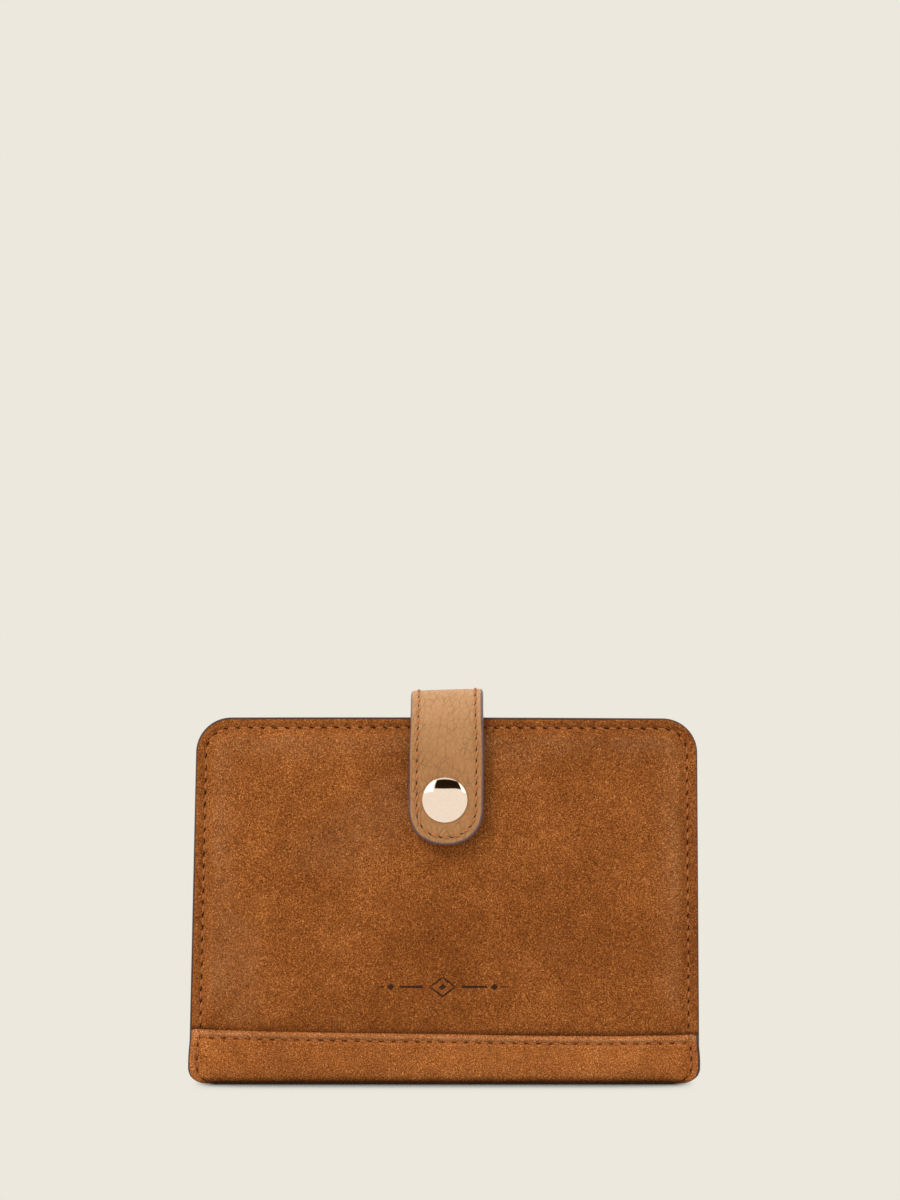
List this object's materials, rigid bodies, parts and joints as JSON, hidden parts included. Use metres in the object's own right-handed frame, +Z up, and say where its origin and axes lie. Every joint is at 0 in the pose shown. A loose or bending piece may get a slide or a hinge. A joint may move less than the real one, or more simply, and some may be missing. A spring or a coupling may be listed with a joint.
{
  "type": "bifold wallet",
  "caption": "Compact suede bifold wallet that stands on its spine and closes with a leather snap tab, with card slots, banknote pockets and a zipped coin pocket.",
  "frame": {"origin": "centre of the flat underside of the spine", "axes": "+Z up from the spine to the covers' free edges, +X along the spine, the front cover with the snap faces -Y"},
  "size_m": [0.1414, 0.033, 0.1091],
  "materials": {
    "suede": "napped suede, warm tan brown",
    "strip_suede": "napped suede, warm tan brown",
    "tab_leather": "pebbled, waxed, camel",
    "tab_backing": "smooth, tan",
    "lining": "smooth split leather, brown",
    "inner_leather": "smooth, tan",
    "padding": "closed-cell foam",
    "board": "bonded fibre board",
    "gusset_cloth": "woven twill, brown",
    "tape": "woven zip tape, brown",
    "thread": "bonded thread, tan",
    "tab_thread": "bonded thread, orange tan",
    "pale_brass": "polished, pale gold",
    "zip_brass": "polished"
  },
  "bodies": {
    "spine": {"spine_strip_base": "strip_suede", "spine_lining": "lining"},
    "front_cover": {"front_suede_panel": "suede", "front_padding": "padding", "front_board": "board", "front_lining": "lining", "front_edge_thread": "thread", "front_seam_thread": "thread", "front_bill_panel": "inner_leather", "front_inner_thread": "thread", "spine_strip_front_wing": "strip_suede", "coin_gusset": "gusset_cloth", "coin_panel_lower": "inner_leather", "coin_panel_upper": "inner_leather", "zip_tape_lower": "tape", "zip_tape_upper": "tape", "zip_teeth_lower": "zip_brass", "zip_teeth_upper": "zip_brass", "zip_end_stops": "zip_brass", "coin_pocket_thread": "thread", "snap_stud": "pale_brass", "snap_stud_rivet": "pale_brass"},
    "back_cover": {"back_suede_panel": "suede", "back_padding": "padding", "back_board": "board", "back_lining": "lining", "back_edge_thread": "thread", "back_seam_thread": "thread", "back_bill_panel": "inner_leather", "back_inner_thread": "thread", "spine_strip_back_wing": "strip_suede", "card_pocket_rear": "inner_leather", "card_pocket_middle": "inner_leather", "card_pocket_front": "inner_leather", "card_pocket_thread": "thread", "tab_root_backing": "tab_backing", "tab_root_face": "tab_leather", "tab_root_thread": "tab_thread"},
    "tab_bridge": {"tab_bridge_backing": "tab_backing", "tab_bridge_face": "tab_leather", "tab_bridge_thread": "tab_thread"},
    "tab_end": {"tab_end_backing": "tab_backing", "tab_end_face": "tab_leather", "tab_end_thread": "tab_thread", "snap_socket": "pale_brass", "snap_cap": "pale_brass"},
    "zip_slider_body": {"zip_slider": "zip_brass"},
    "zip_pull": {"zip_ring": "zip_brass", "zip_pull_tag": "inner_leather"}
  },
  "joints": [
    {"name": "front_cover_fold", "type": "hinge", "parent": "spine", "child": "front_cover", "pos_m": [0, -0.013, 0.0015], "axis": [1, 0, 0], "range_deg": [0, 90]},
    {"name": "back_cover_fold", "type": "hinge", "parent": "spine", "child": "back_cover", "pos_m": [0, 0.013, 0.0015], "axis": [-1, 0, 0], "range_deg": [0, 90]},
    {"name": "tab_bridge_lift", "type": "hinge", "parent": "back_cover", "child": "tab_bridge", "pos_m": [0, 0.00961, 0.10517], "axis": [-1, 0, 0], "range_deg": [0, 55]},
    {"name": "tab_end_lift", "type": "hinge", "parent": "tab_bridge", "child": "tab_end", "pos_m": [0, -0.01221, 0.10517], "axis": [-1, 0, 0], "range_deg": [0, 110]},
    {"name": "zip_slide", "type": "slide", "parent": "front_cover", "child": "zip_slider_body", "axis": [-1, 0, 0], "range_m": [0, 0.092], "deforming": ["zip_teeth_lower", "zip_teeth_upper"]},
    {"name": "zip_pull_swing", "type": "hinge", "parent": "zip_slider_body", "child": "zip_pull", "pos_m": [0.0517, 0.00246, 0.07305], "axis": [0, 0.9995, -0.0314], "range_deg": [-75, 35]}
  ],
  "couplings": [
    {"joint": "tab_bridge_lift", "follows": "tab_end_lift", "ratio": 0.5}
  ]
}
